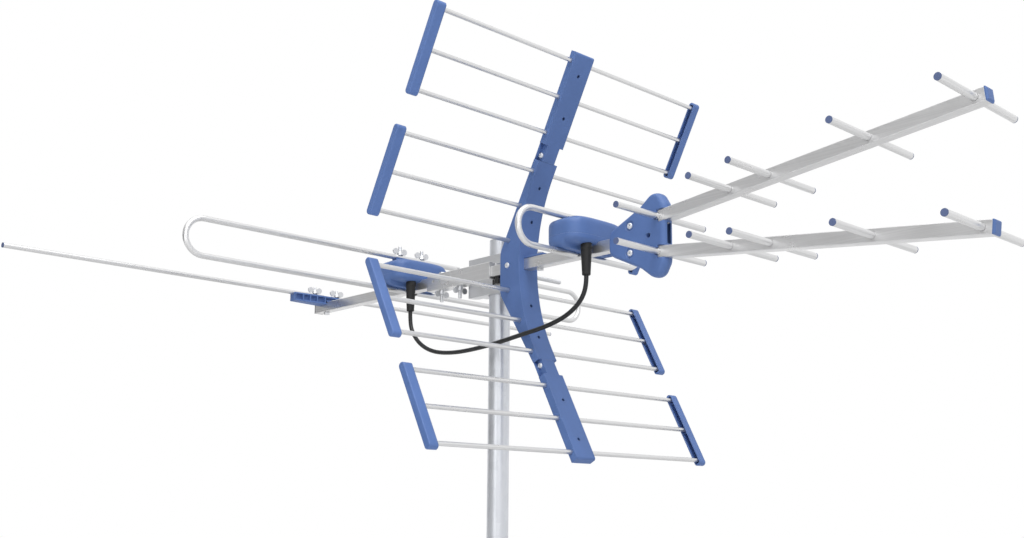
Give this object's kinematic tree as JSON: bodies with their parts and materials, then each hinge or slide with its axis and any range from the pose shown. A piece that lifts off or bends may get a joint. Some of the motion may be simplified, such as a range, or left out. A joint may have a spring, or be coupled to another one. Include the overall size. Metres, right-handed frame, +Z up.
{
  "type": "tv antenna",
  "caption": "Roof antenna on a mast: corner reflector of rods, folded UHF and VHF dipoles, fanned director booms and a jumper cable.",
  "frame": {"origin": "on the mast's axis at the height of the boom's middle line", "axes": "+X along the boom towards the directors, +Y to the left of someone looking along +X, +Z up the mast"},
  "size_m": [1.1626, 1.0244, 0.6925],
  "materials": {
    "aluminium": "satin drawn",
    "blue_plastic": "fine moulded texture",
    "grey_plastic": "moulded",
    "black_plastic": "moulded",
    "black_rubber": "satin",
    "zinc": "zinc plated",
    "mast_steel": "galvanised",
    "circuit_board": "coated"
  },
  "bodies": {
    "mast": {"mast_tube": "mast_steel"},
    "antenna": {"clamp_saddle": "zinc", "clamp_jaw": "zinc", "clamp_bolts": "zinc", "clamp_washers": "zinc", "boom_wing_knob": "black_plastic", "clamp_nuts": "zinc", "front_boom": "aluminium", "rear_boom": "aluminium", "rear_boom_plug": "grey_plastic", "boom_coupler": "aluminium", "reflector_hub": "blue_plastic", "upper_reflector_arm": "blue_plastic", "lower_reflector_arm": "blue_plastic", "reflector_screws": "zinc", "uhf_dipole": "aluminium", "vhf_dipole": "aluminium", "uhf_pod_base": "blue_plastic", "uhf_pod_cover": "blue_plastic", "uhf_balun_board": "circuit_board", "vhf_pod_base": "blue_plastic", "vhf_pod_cover": "blue_plastic", "vhf_balun_board": "circuit_board", "uhf_boot": "black_rubber", "vhf_boot": "black_rubber", "jumper_cable": "black_rubber", "bracket_near_half": "blue_plastic", "bracket_far_half": "blue_plastic", "bracket_screws": "zinc", "upper_director_boom": "aluminium", "lower_director_boom": "aluminium", "director_boom_plugs": "blue_plastic", "upper_directors": "aluminium", "lower_directors": "aluminium", "tail_rod_holder": "blue_plastic", "tail_rod_left": "aluminium", "tail_rod_right": "aluminium", "hex_bolts": "zinc", "wing_nuts": "zinc", "tip_plugs": "blue_plastic", "reflector_rod_01": "aluminium", "reflector_rod_02": "aluminium", "reflector_rod_03": "aluminium", "reflector_rod_04": "aluminium", "reflector_rod_05": "aluminium", "reflector_rod_06": "aluminium", "reflector_rod_07": "aluminium", "reflector_rod_08": "aluminium", "reflector_rod_09": "aluminium", "reflector_rod_10": "aluminium", "reflector_rod_11": "aluminium", "reflector_rod_12": "aluminium", "upper_outer_left_plate": "blue_plastic", "upper_outer_right_plate": "blue_plastic", "upper_inner_left_plate": "blue_plastic", "upper_inner_right_plate": "blue_plastic", "lower_inner_left_plate": "blue_plastic", "lower_inner_right_plate": "blue_plastic", "lower_outer_left_plate": "blue_plastic", "lower_outer_right_plate": "blue_plastic"}
  },
  "joints": [
    {"name": "azimuth", "type": "hinge", "parent": "mast", "child": "antenna", "pos_m": [0, 0, 0], "axis": [0, 0, 1], "continuous": true}
  ]
}
